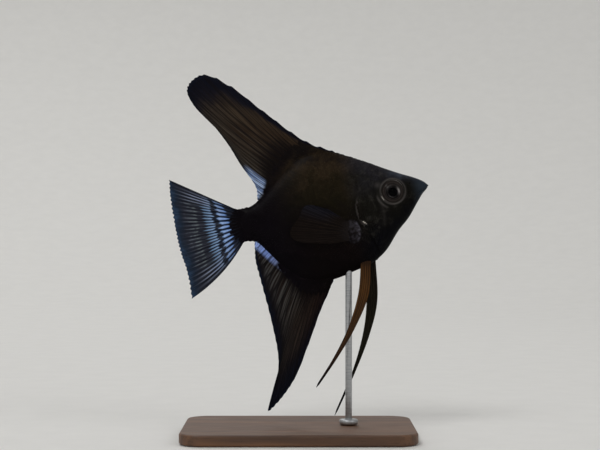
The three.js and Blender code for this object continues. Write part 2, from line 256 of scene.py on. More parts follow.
def bodyColour(add, place):
    plan = bodyColours
    back = add("Math", (add("SeparateXYZ", (place,)), -1.0), **times)
    up = add("SeparateXYZ", (place,), output=2)
    cloud = add("TexNoise", {"Vector": place, "Scale": 0.13, "Detail": 5.0, "Roughness": 0.6})
    shift = add("MapRange", (cloud, 0.25, 0.75, -0.16, 0.16))
    # The colour lightens up the flank and the head, partly the skin's own colour and partly painted
    # top light.
    level = add("MapRange", (up, *plan["heights"]))
    level = add("Math", (level, shift), operation="ADD")
    flank = add("ValToRGB", (level,), stops=plan["bellyToBack"])
    behind = add("Math", (back, 3.0), operation="ADD")
    slope = add("Math", (up, behind), operation="DIVIDE")
    slope = add("MapRange", (slope, *plan["slopes"]))
    slope = add("Math", (slope, shift), operation="ADD")
    head = add("ValToRGB", (slope,), stops=plan["chinToNape"])
    patch = add("TexNoise", {"Vector": place, "Scale": 0.36, "Detail": 3.0, "Roughness": 0.6})
    patch = add("MapRange", (patch, *plan["cheekPatches"]), **eased)
    upper = add("MapRange", (slope, *plan["cheekSlopes"]), **eased)
    patch = add("Math", (patch, upper), **times)
    head = add("Mix", {0: patch, 6: head, 7: srgb(plan["cheekPatch"])}, **mixed)
    front = add("MapRange", (back, *plan["headFade"]), **eased)
    colour = add("Mix", {0: front, 6: flank, 7: head}, **mixed)
    # The forehead tint is a painted highlight along the top edge of the head.
    for name in ("forehead", "snout", "tailStalk"):
        share = add("MapRange", (back, *plan[name + "Fade"]), **eased)
        if name == "forehead":
            high = add("MapRange", (slope, *plan["foreheadSlopes"]), **eased)
            share = add("Math", (high, share), **times)
        colour = add("Mix", {0: share, 6: colour, 7: srgb(plan[name])}, **mixed)
    return colour


def skinRecipe(add):
    place = fishCoordinates(add)
    # The ridge attribute mixes in painted highlights and glints.
    ridge = add("Attribute", output="Fac", attribute_name="ridge")
    pale = add("ValToRGB", (ridge,), stops=bodyColours["ridge"])
    colour = add("Mix", {0: ridge, 6: bodyColour(add, place), 7: pale}, **mixed)
    # The fin base is a greyer tone with a painted highlight on its front rim.
    lobe = add("Attribute", output="Fac", attribute_name="finBase")
    blotch = add("TexNoise", {"Vector": place, "Scale": 0.75, "Detail": 3.0})
    lobe = add("Math", (lobe, add("MapRange", (blotch, 0.38, 0.64, 0.12, 1.0))), **times)
    colour = add("Mix", {0: lobe, 6: colour, 7: srgb(bodyColours["finBase"])}, **mixed)
    pores = add("TexNoise", {"Vector": place, "Scale": 3.2, "Detail": 2.0})
    return {
        "Base Color": colour,
        "Roughness": add("MapRange", (pores, 0.3, 0.7, 0.34, 0.44)),
        **wetFilm,
        "Normal": add("Bump", {"Height": pores, "Strength": 0.3, "Distance": 0.06 * mm}),
    }


# Scales of thin clear bone over black skin: each carries the skin's colour, with a painted
# highlight on its free edge.
def scaleRecipe(add):
    # rim marks each scale's free edge, where a painted highlight lightens the colour.
    rim, tone = (add("Attribute", output="Fac", attribute_name=key) for key in ("rim", "tone"))
    share = add("Math", (rim, add("MapRange", (tone, 0.0, 1.0, 0.15, 0.8))), **times)
    skinColour = bodyColour(add, fishCoordinates(add))
    edge = add("HueSaturation", {"Color": skinColour, "Value": bodyColours["scaleEdge"]})
    colour = add("Mix", {0: share, 6: skinColour, 7: edge}, **mixed)
    return {
        "Base Color": colour,
        "Roughness": add("MapRange", (tone, 0.0, 1.0, 0.32, 0.46)),
        **wetFilm,
    }


# Fin membrane: pigmented skin stretched over bony rays, satin when wet. The pigment runs in fine
# streaks along the rays, and the rays themselves are darker and jointed.
def finRecipe(add, plan):
    ray, reach, span, bone = (
        add("Attribute", output="Fac", attribute_name=key)
        for key in ("ray", "reach", "span", "bone"))
    slow = add("Math", (span, 0.05), **times)
    fast = add("Math", (ray, plan["streaksPerRay"]), **times)
    lay = add("CombineXYZ", (fast, slow, 0.0))
    streak = add("TexNoise", {"Vector": lay, "Scale": 1.0, "Detail": 2.0})
    cloud = add("TexNoise", {
        "Vector": fishCoordinates(add), "Scale": 0.14, "Detail": 4.0, "Roughness": 0.6})
    shift = add("MapRange", (cloud, 0.25, 0.75, -0.07, 0.07))
    place = add("Math", (reach, shift), operation="ADD")
    if "frontDark" in plan:
        first, last, amount = plan["frontDark"]
        front = add("MapRange", (ray, last, first, 0.0, amount))
        high = add("MapRange", (reach, 0.4, 0.8), **eased)
        place = add("Math", (front, high, place), operation="MULTIPLY_ADD")
    colour = add("ValToRGB", (place,), stops=plan["rootToTip"])
    light = add("MapRange", (streak, 0.42, 0.66, 0.0, plan["streakShare"]))
    end, rise = plan.get("streakEnd", 0.97), plan["streakRise"]
    for at, *fade in ((place, end, end - 0.27), (reach, rise / 3, rise)):
        light = add("Math", (light, add("MapRange", (at, *fade), **eased)), **times)
    if isinstance(plan["streak"], str):
        streakColour = srgb(plan["streak"])
    else:
        last = plan["streak"][-1][0]
        across = add("Math", (ray, last), operation="DIVIDE")
        stops = [(at / last, shade) for at, shade in plan["streak"]]
        streakColour = add("ValToRGB", (across,), stops=stops)
    layers = [(light, streakColour)]
    if "front" in plan:
        first = add("MapRange", (ray, plan["frontRays"], 1.0, 0.0, 0.8), **eased)
        layers.append((first, srgb(plan["front"])))
    dark = add("MapRange", (bone, 0.2, 0.8, 0.0, plan["boneShare"]))
    layers.append((dark, srgb(plan["bone"])))
    if "margin" in plan:
        length = add("Math", (span, reach), operation="DIVIDE")
        inside = add("Math", (length, span), operation="SUBTRACT")
        rim = add("MapRange", (inside, plan["marginWidth"], 0.3, 0.0, 0.85), **eased)
        layers.append((rim, srgb(plan["margin"])))
    alpha = 1.0
    if "pale" in plan:
        share, shade, alpha = plan["pale"](add, ray, reach, span, bone, streak)
        layers.append((share, shade))
    for share, shade in layers:
        colour = add("Mix", {0: share, 6: colour, 7: shade}, **mixed)
    joint = add("TexWave", {
        "Vector": add("CombineXYZ", (span, 0.0, 0.0)), "Scale": 0.45, "Distortion": 0.5},
        output="Fac", wave_type="BANDS")
    height = add("Math", (joint, bone), **times)
    return {
        "Base Color": colour,
        "Roughness": 0.46,
        **wetFilm,
        "Alpha": alpha,
        "Normal": add("Bump", {"Height": height, "Strength": 0.35, "Distance": 0.08 * mm}),
    }


bodyShape = {
    # distance back, height of the back line, height of the belly line, half thickness
    "stations": [
        (0, 0.6, -1.1, 1.0), (2.4, 2.7, -2.6, 2.3), (6, 5.0, -6.4, 3.8), (11.3, 7.8, -12.4, 5.3),
        (17, 11.1, -17.2, 6.4), (24.7, 15.7, -25.1, 7.3), (32, 19.9, -29.2, 7.6),
        (40, 23.8, -31.0, 7.3), (48.4, 25.5, -32.6, 6.7), (56.5, 23.9, -32.9, 5.9),
        (64.6, 18.3, -30.1, 4.8), (71, 13.2, -23.9, 3.8), (77, 8.4, -15.0, 3.0),
        (81.5, 6.9, -8.6, 2.5), (86, 7.2, -7.9, 2.0),
    ],
    "length": 86.0,
    "widest": 0.56,
    "keel": 1.2,
    "around": 248, "along": 348,
    "snoutRound": 1.5,
    "tailStart": 81.0, "tailBulge": 4.2, "tailThin": 0.3,
    "under": 0.06,
}
# Share of the rings spent by each distance back: most of them go to the head.
ringShares = [0, 0.03, 0.52, 1]
ringBacks = [0, 1.0, 36.0, bodyShape["length"]]
readBody = smoothTable(bodyShape["stations"])


def sectionAt(back):
    top, bottom, half = readBody(np.clip(back, 0, bodyShape["length"]))
    return top, bottom, half, bottom + bodyShape["widest"] * (top - bottom)


# Height within a section, from -1 at the belly line to 1 at the back line, and its half thickness.
def levelAt(back, up):
    top, bottom, half, widest = sectionAt(back)
    reach = np.where(up > widest, top - widest, widest - bottom)
    return np.clip((up - widest) / reach, -1, 1), half


def flankAt(back, up):
    level, half = levelAt(back, up)
    return half * (1 - level**2) ** (bodyShape["keel"] / 2)


# Distance back of a ring of the skin, whole or not.
def backOfRing(ring):
    return np.interp(np.clip(ring / (bodyShape["along"] - 1), 0, 1), ringShares, ringBacks)


# The tail stalk's end: how far along it a distance back lies, and how far it swells backwards.
def tailShare(back):
    start, end = bodyShape["tailStart"], bodyShape["length"]
    return np.clip((back - start) / (end - start), 0, 1)


def tailSwell(level, tail):
    return bodyShape["tailBulge"] * (1 - level**2) * tail**1.5


headForms = {
    "eye": (16.4, 0.5), "eyeRadius": 5.7, "eyeFold": 7.5, "foldDirection": (0.83, -0.56),
    "cleft": ((-0.6, -0.6), (5.2, -2.6)),
    "jawGroove": ((5.4, -2.7), (9.2, -8.6)), "cheekGroove": ((8.6, 0.2), (13.0, -9.5)),
    "nostril": (8.3, 2.3), "temple": (22.6, 4.6),
    "gillBack": 34.2, "gillUp": -5.0, "gillSpot": (-1.25, -10.6),
    "preopercle": (23.6, -7.0), "preopercleBow": 0.02, "preopercleRidge": 1.2,
    "pectoralBase": (37.6, -13.4), "pectoralReach": (3.3, 4.9),
    "lineFrom": 33.0, "lineDrop": 63.0, "lineUp": 7.5, "lineRise": 5.0, "lineLow": 0.3,
}


# Distance back of the gill cover's free edge.
def gillEdge(up):
    d = up - headForms["gillUp"]
    upper = 1.5 * (d / 5) ** 2 / (1 + 0.3 * (d / 5) ** 2)
    lower = 0.06 * d**2 / (1 + 0.012 * d**2) + 0.22 * np.maximum(0, -d - 8)
    return headForms["gillBack"] - np.where(d > 0, upper, lower)


# Distance behind the groove in front of the gill cover.
def behindPreopercle(back, up):
    middleBack, middleUp = headForms["preopercle"]
    return back - (middleBack + headForms["preopercleBow"] * (up - middleUp) ** 2)


# Distance from the middle of the eye, and how nearly that lies in a direction: 1 is straight on.
def fromEye(back, up, direction):
    dx, dz = back - headForms["eye"][0], up - headForms["eye"][1]
    away = np.hypot(dx, dz)
    return away, (direction[0] * dx + direction[1] * dz) / (away + 0.01)


# How far a point lies from the middle of the pectoral fin's fleshy base: 1 at the edge.
def finBaseAway(back, up):
    middleBack, middleUp = headForms["pectoralBase"]
    reachBack, reachUp = headForms["pectoralReach"]
    return np.hypot((back - middleBack) / reachBack, (up - middleUp) / reachUp)


# Height of the fine forms of the head and flank over the plain body, in mm.
def reliefAt(back, up):
    eyeAway, lowerRear = fromEye(back, up, headForms["foldDirection"])
    radius = headForms["eyeRadius"]
    height = 0.2 * bell(eyeAway - radius - 0.1, 0.5)
    height -= 0.16 * bell(eyeAway - radius - 0.95, 0.4)
    height += 0.16 * bell(eyeAway - headForms["eyeFold"], 0.4) * smoothStep(0.75, 0.96, lowerRear)
    height -= 2.2 * smoothStep(radius - 0.35, radius - 1.0, eyeAway)

    behind = back - gillEdge(up)
    coverSpan = smoothStep(9, 3, up) * smoothStep(-27, -21, up)
    height += coverSpan * 0.42 * smoothStep(-9, -1.0, behind) * smoothStep(0.22, -0.12, behind)
    height -= coverSpan * 0.3 * bell(behind - 0.45, 0.55)
    behind = behindPreopercle(back, up)
    height -= coverSpan * 0.16 * bell(behind, 0.45)
    height += coverSpan * 0.1 * bell(behind + headForms["preopercleRidge"], 0.8)

    away, t = awayFromLine(back, up, *headForms["cleft"])
    height -= 0.55 * bell(away, 0.22) * smoothStep(1.05, 0.9, t)
    height += 0.26 * (bell(away - 0.75, 0.42) * smoothStep(7.0, 3.5, back))
    away, t = awayFromLine(back, up, *headForms["jawGroove"])
    height -= 0.14 * bell(away, 0.4) * smoothStep(1.0, 0.4, t)
    height -= 0.08 * bell(awayFromLine(back, up, *headForms["cheekGroove"])[0], 0.7)

    nostrilAway = np.hypot(back - headForms["nostril"][0], up - headForms["nostril"][1])
    height -= 0.5 * bell(nostrilAway, 0.34)
    height += 0.12 * bell(nostrilAway - 0.62, 0.25)

    lobe = finBaseAway(back, up)
    height += 0.9 * smoothStep(1.1, 0.45, lobe) - 0.2 * bell(lobe - 1.15, 0.12)

    # The lateral line arches back from the gill cover, then drops to the middle of the tail stalk.
    start, drop = headForms["lineFrom"], headForms["lineDrop"]
    arch = headForms["lineRise"] * np.sin((back - start) / (drop - start) * math.pi * 0.5)
    lineUp = np.where(back < drop, headForms["lineUp"] + arch, headForms["lineLow"])
    low = np.where(back < drop, 1, smoothStep(drop, drop + 2, back))
    height += 0.07 * bell(up - lineUp, 0.35) * (smoothStep(start, start + 2, back) * low)
    return height


# Painted highlights on the skin: paler where light catches the gill cover's edge and the ridge in
# front of it, the rim of the orbit, the fold behind the eye and a spot on the temple, and two
# painted glints.
def ridgeAt(back, up):
    behind = back - gillEdge(up)
    cover = smoothStep(3, -2, up) * smoothStep(-15, -11, up)
    pale = 0.5 * cover * bell(behind + 0.35, 0.75)
    ridge = behindPreopercle(back, up) + headForms["preopercleRidge"]
    pale += 0.12 * cover * bell(ridge, 0.9)
    away, lowerRear = fromEye(back, up, headForms["foldDirection"])
    pale += 0.5 * bell(away - headForms["eyeFold"], 0.4) * smoothStep(0.82, 0.96, lowerRear)
    dx, dz = back - headForms["eye"][0], up - headForms["eye"][1]
    rim = bell(away - headForms["eyeRadius"] + 0.1, 0.45)
    pale += (0.72 - 0.28 * (dx - 0.5 * dz) * (dx + 0.5 * dz) / (away**2 + 0.01)) * rim
    templeBack, templeUp = headForms["temple"]
    pale += 0.35 * bell(np.hypot(back - templeBack, up - templeUp), 1.3)
    # One painted glint is just ahead of the gill cover's edge, level with the top of the pectoral
    # fin, and the other is on the lower rear of the orbit's rim.
    ahead, above = behind - headForms["gillSpot"][0], up - headForms["gillSpot"][1]
    spot = 1.8 * bell(ahead - 0.4 * above, 0.38) * bell(above, 0.85)
    spot += 0.4 * smoothStep(0.955, 0.99, fromEye(back, up, (0.92, -0.39))[1]) * rim
    return np.clip(np.clip(pale, 0, 0.75) + spot, 0, 1)


skinGrid = {}


def makeSkin():
    rings, around = bodyShape["along"], bodyShape["around"]
    bm = bmesh.new()
    bmesh.ops.create_uvsphere(bm, u_segments=around, v_segments=rings, radius=1)
    mesh = meshFrom(bm, "bodySkin")
    ball = pointsOf(mesh)
    ring = np.rint(np.arccos(np.clip(ball[:, 2], -1, 1)) / math.pi * rings).astype(int)
    angle = np.arctan2(ball[:, 0], ball[:, 1])
    isPole = (ring == 0) | (ring == rings)
    back = backOfRing(ring)
    top, bottom, half, widest = sectionAt(back)
    level = np.where(isPole, 0, np.cos(angle))
    side = np.where(isPole, 0, np.sin(angle))
    blunt = np.sqrt(1 - (1 - np.clip(back / bodyShape["snoutRound"], 0, 1)) ** 2)
    tail = tailShare(back)
    half = half * (1 - tail) + bodyShape["tailThin"] * tail
    reach = np.where(level > 0, top - widest, widest - bottom) * blunt
    up = widest + level * reach
    out = np.sign(side) * np.abs(side) ** bodyShape["keel"] * half * blunt
    back = back + tailSwell(level, tail)
    shapeMesh(mesh, toWorld(back, out, up))
    flat = np.abs(side) ** 0.8
    relief = reliefAt(back, up) * flat - bodyShape["under"]
    movePoints(mesh, pointsOf(mesh) + normalsOf(mesh) * relief[:, None] * mm)
    # The pectoral fin's fleshy base: a greyer tone, with a painted highlight along its front rim.
    baseBack = headForms["pectoralBase"][0]
    front = smoothStep(baseBack - 0.5, baseBack - 3, back)
    away = finBaseAway(back, up)
    base = smoothStep(1.2, 0.9, away) * (0.3 + 0.7 * front * smoothStep(0.3, 0.9, away))
    # ridge holds the painted highlights and glints.
    addValues(mesh, ridge=ridgeAt(back, up) * flat, finBase=base * flat)

    column = np.rint(angle / fullTurn * around).astype(int) % around
    for name, found in (("points", pointsOf(mesh)), ("normals", normalsOf(mesh))):
        skinGrid[name] = np.zeros((rings + 1, around, 3))
        skinGrid[name][ring, column] = found
        for end in (0, rings):
            skinGrid[name][end, :] = found[ring == end][0]
    skinGrid["back"] = backOfRing(np.arange(rings + 1))
    return mesh


# Point and normal of the skin at a ring and an angle round it, neither of them whole.
def skinAt(ring, turn):
    around = bodyShape["around"]
    column = turn / fullTurn * around
    r0, c0 = int(math.floor(ring)), int(math.floor(column))
    fr, fc = ring - r0, column - c0
    r1 = min(r0 + 1, bodyShape["along"])
    found = []
    for grid in (skinGrid["points"], skinGrid["normals"]):
        low, high = (
            grid[r, c0 % around] * (1 - fc) + grid[r, (c0 + 1) % around] * fc for r in (r0, r1))
        found.append(Vector(low * (1 - fr) + high * fr))
    return found[0], found[1].normalized()


rootSink = 1.5  # how deep a fin's root lies inside the back or belly line, in mm
shortestRay = 4  # rays shorter than this, in mm, are notched as if they were this long

# Each fin's rays, first to last: root back, root up, tip back and tip up. A root of None lies just
# inside the body's back or belly line.
dorsalPlan = {
    "rays": [
        (34, None, 34.8, 22.2), (38.6, None, 42, 25.9), (43.4, None, 51, 31.9),
        (47.8, None, 60.3, 41.8), (50.6, None, 68.3, 51.2), (53.2, None, 78.4, 63),
        (55.4, None, 87.6, 69.6), (57.8, None, 94.4, 68.2), (61.4, None, 97.5, 63.8),
        (63.8, None, 95.2, 55.9), (65.8, None, 89.3, 47), (67.4, None, 84.2, 36.4),
        (69.2, None, 80.6, 26.4), (71.4, None, 76.2, 16), (75.4, None, 76.5, 9.6),
    ],
    "count": 23, "spines": 10, "rows": 84, "perRay": 16,
    "root": 1.9, "membrane": 0.2, "boneHeight": 0.2, "notch": 1.2, "fringe": 0.35,
    "bow": -6.0, "sway": 1.5, "wave": 12.0, "frontEase": 0.45,
    "scaledFrom": 0.1, "scaledTo": 0.93, "scaleReach": 6.5, "scaleFade": 0.85, "unwrapAt": 0.02,
}
analPlan = {
    "rays": [
        (50, None, 51, -34.8), (51.8, None, 58.4, -44.5), (54, None, 66.4, -57.4),
        (56.2, None, 75.8, -71.6), (58.2, None, 84.6, -80.2), (59.8, None, 91.6, -84.4),
        (61.6, None, 86.4, -75.4), (64.2, None, 82.2, -63), (68, None, 81.6, -47.6),
        (73.2, None, 82.4, -30), (77.4, None, 83, -18), (80.8, None, 81.9, -9.8),
    ],
    "count": 21, "spines": 6, "rows": 84, "perRay": 16,
    "root": 1.9, "membrane": 0.2, "boneHeight": 0.2, "notch": 0.6, "fringe": 0.4,
    "bow": 5.0, "sway": -1.5, "wave": 12.0, "frontEase": 0.3,
    "scaledFrom": 0.04, "scaledTo": 0.8, "scaleReach": 6.0, "scaleFade": 0.9, "unwrapAt": 0.35,
}
tailPlan = {
    "rays": [
        (86.3, 6.9, 113.5, 26.5), (86.3, 4.6, 114.9, 16.4), (86.3, 1.6, 115.4, 5.2),
        (86.3, -1.6, 115.3, -5.2), (86.3, -4.9, 114.2, -15.6), (86.3, -7.7, 114.7, -28),
    ],
    "count": 14, "spines": 0, "rows": 90, "perRay": 22,
    "root": 2.2, "membrane": 0.2, "boneHeight": 0.18, "notch": 0.4, "fringe": 0.4,
    "bow": -2.2, "sway": 1.2, "wave": 6.0, "startBack": -3.5,
    "scaledFrom": 0.03, "scaledTo": 0.97, "scaleReach": 5.0, "scaleFade": 0.0, "unwrapAt": 0.68,
}
pectoralPlan = {
    "rays": [
        (38.4, -9, 46.6, -1.2), (38.7, -10.6, 55.4, 2.4), (39.1, -12.4, 60.6, -2.6),
        (39.4, -14, 65.2, -8), (39.7, -15.6, 62.6, -12.6), (40, -17, 49.4, -16.6),
    ],
    "count": 13, "spines": 0, "rows": 60, "perRay": 16,
    "root": 0.8, "membrane": 0.16, "boneHeight": 0.12, "notch": 0.3, "fringe": 0.2,
    "clearance": 0.75, "lift": 1.9, "bow": 0.0,
}


def finRays(plan):
    last = len(plan["rays"]) - 1
    rows = []
    for i, (rootBack, rootUp, tipBack, tipUp) in enumerate(plan["rays"]):
        if rootUp is None:
            top, bottom = sectionAt(rootBack)[:2]
            rootUp = top - rootSink if tipUp > 0 else bottom + rootSink
        rows.append((i / last, rootBack, rootUp, tipBack, tipUp))
    return smoothTable(rows)


# Middle surface of a fin: u runs across the rays and v from root to tip. It also gives the ray's
# length.
def finSurface(plan, u, v, side=0):
    rootBack, rootUp, tipBack, tipUp = finRays(plan)(u)
    length = np.hypot(tipBack - rootBack, tipUp - rootUp)
    bend = plan["bow"] * (u * u if "startBack" in plan else u * (1 - u)) * 4 * v * (1 - v)
    back = rootBack + (tipBack - rootBack) * v - bend * (tipUp - rootUp) / length
    up = rootUp + (tipUp - rootUp) * v + bend * (tipBack - rootBack) / length
    if side:
        rise = 0.15 + 0.85 * smoothStep(0, 0.3, v)
        out = side * (flankAt(back, up) + plan["clearance"] * rise + plan["lift"] * v * v)
    else:
        across = up if "startBack" in plan else back
        out = plan["sway"] * np.clip(v, 0, 1) ** 2 * np.sin(across / plan["wave"])
    return back, out, up, length


# Thickness of a fin's flesh at a share of its width and of the ray: most at the sunken root.
def finThickness(plan, u, v):
    edge = np.sin(math.pi * np.clip(u, 0.02, 0.98)) ** 0.5 if "startBack" in plan else 1
    flesh = (plan["root"] * edge - plan["membrane"]) * (1 - v) ** 3
    return plan["membrane"] * (1 - 0.35 * v) + flesh


# Share of a ray's length at which its fin starts: below 0 it starts ahead of the root.
def startShare(plan, length):
    return plan.get("startBack", 0) / np.maximum(length, shortestRay)


# A flat sheet with two faces: its mesh, and each point's share of the width, its share of the
# length and its face, -1 or 1.
def makeSheet(name, columns, rows):
    bm = bmesh.new()
    bmesh.ops.create_grid(bm, x_segments=columns, y_segments=rows, size=1)
    bmesh.ops.solidify(bm, geom=bm.faces[:], thickness=1)
    mesh = meshFrom(bm, name)
    flat = pointsOf(mesh)
    flat = (flat - flat.min(0)) / (flat.max(0) - flat.min(0))
    return mesh, flat[:, 0], flat[:, 1], np.sign(flat[:, 2] - 0.5)


def makeFin(name, plan, side=0):
    mesh, u, v, face = makeSheet(name, plan["count"] * plan["perRay"], plan["rows"])
    phase = u * plan["count"]
    offRay = np.abs(phase - np.rint(phase))
    isSoft = smoothStep(plan["spines"] - 0.5, plan["spines"] + 0.5, phase)
    split = 0.2 * smoothStep(0.3, 0.7, v) * isSoft
    twig = 0.08 * smoothStep(0.6, 0.95, v) * isSoft
    width = 0.14 - (0.05 + 0.04 * isSoft) * smoothStep(0.2, 0.9, v)
    bone = np.maximum(bell(offRay - split - twig, width), bell(offRay - split + twig, width))

    length = finSurface(plan, u, v, side)[3]
    notch = plan["notch"] * (1 - isSoft) * np.sin(offRay * math.pi) ** 1.2
    notch += plan["fringe"] * isSoft * (1 - np.cos(offRay * fullTurn * 2)) / 2
    ragged = 0.5 + 0.5 * np.sin(phase * 2.3 + 1.1) * np.sin(phase * 0.9)
    along = v * (1 - notch * (0.6 + 0.8 * ragged) / np.maximum(length, shortestRay))
    along = along * (1 - plan.get("frontEase", 0) * (1 - smoothStep(0, 0.05, u)))
    start = startShare(plan, length)
    along = start + along * (1 - start)
    back, out, up, length = finSurface(plan, u, along, side)

    ridge = 2 * plan["boneHeight"] * (1 - 0.7 * v) * bone * smoothStep(0, 0.12, v)
    out = out + face * (finThickness(plan, u, v) + ridge) / 2
    return shapeMesh(
        mesh, toWorld(back, out, up), ray=phase, reach=v, span=along * length,
        bone=bone * (1 - 0.25 * v))


# Pelvic fins, from the root to the end of the filament: back, up, distance out and width.
pelvicPlan = {
    "right": [
        (34.4, -27.4, 1.7, 4.6), (38.7, -41.6, 4.4, 4.6), (46.8, -54.8, 6.2, 2.9),
        (56.4, -66.2, 7.2, 1.6), (68, -77.8, 7.8, 0.8),
    ],
    "left": [
        (32.4, -27.4, 1.7, 5.0), (35.2, -45.4, 4.6, 4.9), (40.7, -59.8, 6.2, 3.1),
        (49.8, -75.6, 7.2, 1.4), (62.6, -93.6, 7.8, 0.7),
    ],
    "columns": 36, "rows": 160, "rays": 5, "span": 80,
    "root": 1.1, "tip": 0.32, "boneHeight": 0.16,
}


def makePelvicFin(name, path, side):
    plan = pelvicPlan
    mesh, u, v, face = makeSheet(name, plan["columns"], plan["rows"])
    last = len(path) - 1
    read = smoothTable([(i / last, *row) for i, row in enumerate(path)])
    back, up, out, width = read(v)
    step = 0.01
    before, after = read(np.maximum(0, v - step)), read(np.minimum(1, v + step))
    heading = np.arctan2(after[1] - before[1], after[0] - before[0])
    width = width * (1 - 0.75 * smoothStep(0.97, 1.0, v))
    across = (u - 0.5) * width
    phase = u * plan["rays"]
    bone = bell(np.abs(phase - np.rint(phase)), 0.17)
    thickness = plan["tip"] + (plan["root"] - plan["tip"]) * (1 - v) ** 2
    thickness = thickness * (0.45 + 0.55 * np.sqrt(1 - (2 * u - 1) ** 2))
    thickness = thickness + 2 * plan["boneHeight"] * bone * (1 - 0.6 * v)
    curl = 0.5 * np.sin(v * 7) * v * (u - 0.5)
    points = toWorld(
        back - across * np.sin(heading),
        side * out + curl + face * thickness / 2,
        up + across * np.cos(heading))
    return shapeMesh(mesh, points, ray=phase, reach=v, span=v * plan["span"], bone=bone)


scalePlan = {
    "columnStep": 1.0, "rowStep": 1.62, "length": 1.25, "height": 1.05,
    "lift": 0.11, "sink": 0.16, "thick": 0.07, "sides": 10, "sharp": 35,
    "from": 19.0, "to": 85.6, "patch": 0.0015, "seed": 7, "jitter": 0.08,
    "finSize": 0.74, "finShrink": 0.03, "finStep": 1.0, "finStart": -1.3, "finEnd": 0.7,
    # bare skin: how far it reaches round the eye, the gill cover's edge and its painted glint, the
    # pectoral fin's base and the back and belly lines, and the corner of the cheek
    "eyeGap": 8.8, "gillGap": 0.9, "gillSpan": (-27, 6), "spotGap": 1.5, "baseGap": 1.2,
    "endGap": 0.4, "cheek": (25, -2),
}


# One scale, lying flat with its free edge towards +X, about 2 across.
def scaleTemplate():
    bm = bmesh.new()
    bmesh.ops.create_circle(bm, cap_ends=True, segments=scalePlan["sides"], radius=1)
    bmesh.ops.inset_region(bm, faces=bm.faces[:], thickness=0.42, use_even_offset=True)
    bmesh.ops.solidify(bm, geom=bm.faces[:], thickness=0.12)
    bmesh.ops.recalc_face_normals(bm, faces=bm.faces[:])
    points = np.array([v.co[:] for v in bm.verts])
    faces = [[v.index for v in f.verts] for f in bm.faces]
    bm.free()
    return points, faces


# Scales are smallest on the face, and a little smaller again on the tail stalk.
def scaleSize(back):
    face = 0.5 + 0.28 * smoothStep(19, 24, back) + 0.22 * smoothStep(26, 38, back)
    return float(face - 0.15 * smoothStep(70, 80, back))


# Distance gone at each point of a line.
def distanceAlong(x, y):
    return np.concatenate([[0], np.cumsum(np.hypot(np.diff(x), np.diff(y)))])


# Whether the skin is bare at a place on the body.
def isBare(back, up, swell):
    plan = scalePlan
    behindGill = back - float(gillEdge(np.array(up)))
    if math.hypot(back - headForms["eye"][0], up - headForms["eye"][1]) < plan["eyeGap"]:
        return True
    if abs(behindGill) < plan["gillGap"] and plan["gillSpan"][0] < up < plan["gillSpan"][1]:
        return True
    spotBehind, spotUp = headForms["gillSpot"]
    if math.hypot(behindGill - spotBehind, up - spotUp) < plan["spotGap"]:
        return True
    if back < plan["cheek"][0] and up < plan["cheek"][1] or finBaseAway(back, up) < plan["baseGap"]:
        return True
    return back + swell > tailLine(up) + plan["endGap"]


def scalePlaces(side):
    places = []
    rings = bodyShape["along"]
    turns = np.linspace(0, math.pi, 181)
    column, back = 0, scalePlan["from"]
    while back < scalePlan["to"]:
        size, tail = scaleSize(back), float(tailShare(back))
        ring = float(np.interp(back, skinGrid["back"], np.arange(rings + 1)))
        top, bottom, half, widest = sectionAt(back)
        levels, across = np.cos(turns), np.sin(turns)
        ups = widest + levels * np.where(levels > 0, top - widest, widest - bottom)
        lengths = distanceAlong(ups, across ** bodyShape["keel"] * half)
        middle = np.interp(math.pi / 2, turns, lengths)
        for row in range(-50, 51):
            at = middle + (row + 0.5 * (column % 2)) * scalePlan["rowStep"] * size
            if at < scalePlan["endGap"] or at > lengths[-1] - scalePlan["endGap"]:
                continue
            turn, up = (float(np.interp(at, lengths, found)) for found in (turns, ups))
            level = (up - widest) / (top - widest if up > widest else widest - bottom)
            if isBare(back, up, tailSwell(level, tail)):
                continue
            point, normal = skinAt(ring, side * turn)
            ahead = skinAt(min(ring + 1.5, rings), side * turn)[0]
            unwrap = (back / 90, side * turn / fullTurn % 1)
            places.append((point, normal, ahead - point, size, unwrap))
        column += 1
        back += scalePlan["columnStep"] * size / (1 + bodyShape["tailBulge"] * 0.3 * tail**0.5)
    return places


# Where the scales of the tail stalk give way to those of the tail fin, and half the stalk's
# thickness round there.
def tailLine(up):
    level = (up + 0.5) / 7.6
    return bodyShape["tailStart"] + 1.7 + tailSwell(level, 1)


def stalkHalf(back, up):
    start, end = bodyShape["tailStart"], bodyShape["length"]
    level, half = levelAt(np.clip(back, start, end), up)
    shares = np.linspace(0, 1, 21)
    reached = start + (end - start) * shares + tailSwell(level, shares)
    tail = np.interp(back, reached, shares, right=1)
    half = half * (1 - tail) + bodyShape["tailThin"] * tail
    return half * (1 - level**2) ** (bodyShape["keel"] / 2)


